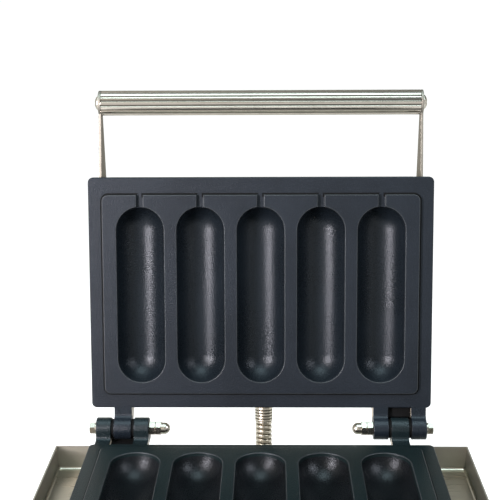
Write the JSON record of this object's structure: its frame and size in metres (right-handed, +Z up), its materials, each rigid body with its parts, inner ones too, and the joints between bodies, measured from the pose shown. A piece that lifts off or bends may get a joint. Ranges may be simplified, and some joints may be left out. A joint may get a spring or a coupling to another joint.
{
  "type": "corn dog maker",
  "caption": "Electric corn dog maker: hinged dark cast plates with long moulds, stainless body with a drip tray, tube handle on two arms and a metal conduit behind the hinge.",
  "frame": {"origin": "on the table under the middle of the body", "axes": "+X to the right as seen from the front, +Y to the back, +Z up; the lid stands open at rest"},
  "size_m": [0.3358, 0.3312, 0.4075],
  "materials": {
    "stainless_sheet": "brushed, satin",
    "bright_hardware": "bright turned",
    "polished_tube": "polished",
    "coated_casting": "dark non-stick coating, satin with a fine speckle",
    "heat_stained_steel": "heat stained",
    "mineral_wool": "fibrous",
    "pale_moulding": "matt",
    "black_moulding": "matt, fine grain",
    "red_moulding": "glossy",
    "green_lens": "clear and glossy",
    "amber_lens": "clear and glossy",
    "earth_brass": "turned",
    "foot_rubber": "matt",
    "conduit_steel": "wound bright strip"
  },
  "bodies": {
    "base": {"body_shell": "stainless_sheet", "base_plate": "stainless_sheet", "base_screws": "bright_hardware", "tray_floor": "stainless_sheet", "lower_plate": "coated_casting", "plate_screws": "bright_hardware", "lower_element": "heat_stained_steel", "lower_clamp_bars": "heat_stained_steel", "lower_clamp_screws": "bright_hardware", "lower_insulation": "mineral_wool", "heat_shield": "heat_stained_steel", "shield_screws": "bright_hardware", "thermostat_bulb": "heat_stained_steel", "control_panel": "stainless_sheet", "panel_screws": "bright_hardware", "thermostat_body": "pale_moulding", "timer_body": "pale_moulding", "switch_housing": "black_moulding", "lamp_bezels": "bright_hardware", "power_lamp": "green_lens", "heat_lamp": "amber_lens", "terminal_block": "pale_moulding", "earth_stud": "earth_brass", "mains_gland": "black_moulding", "gland_locknuts": "bright_hardware", "conduit_elbow": "conduit_steel", "conduit": "conduit_steel", "feet": "foot_rubber", "foot_screws": "bright_hardware", "left_hinge_bolt": "bright_hardware", "right_hinge_bolt": "bright_hardware", "hinge_washers": "bright_hardware", "hinge_nuts": "bright_hardware", "hinge_cap_nuts": "bright_hardware"},
    "lid": {"upper_plate": "coated_casting", "upper_element": "heat_stained_steel", "upper_clamp_bars": "heat_stained_steel", "upper_clamp_screws": "bright_hardware", "upper_insulation": "mineral_wool", "upper_cover": "stainless_sheet", "cover_screws": "bright_hardware", "left_arm": "stainless_sheet", "right_arm": "stainless_sheet", "arm_screws": "bright_hardware", "handle_tube": "polished_tube", "handle_plugs": "polished_tube", "handle_screws": "bright_hardware", "conduit_ferrule": "conduit_steel"},
    "thermostat_dial": {"thermostat_knob": "black_moulding", "thermostat_shaft": "bright_hardware"},
    "timer_dial": {"timer_knob": "black_moulding", "timer_shaft": "bright_hardware"},
    "rocker": {"switch_rocker": "red_moulding"}
  },
  "joints": [
    {"name": "lid_hinge", "type": "hinge", "parent": "base", "child": "lid", "pos_m": [0, 0.1173, 0.144], "axis": [1, 0, 0], "range_deg": [0, 98.4], "deforming": ["conduit"]},
    {"name": "thermostat_turn", "type": "hinge", "parent": "base", "child": "thermostat_dial", "pos_m": [-0.08, -0.1156, 0.064], "axis": [0, 1, 0], "range_deg": [0, 270]},
    {"name": "timer_turn", "type": "hinge", "parent": "base", "child": "timer_dial", "pos_m": [0.08, -0.1156, 0.064], "axis": [0, 1, 0], "range_deg": [0, 300]},
    {"name": "rocker_tilt", "type": "hinge", "parent": "base", "child": "rocker", "pos_m": [0, -0.1116, 0.058], "axis": [1, 0, 0], "range_deg": [-20, 0]}
  ]
}
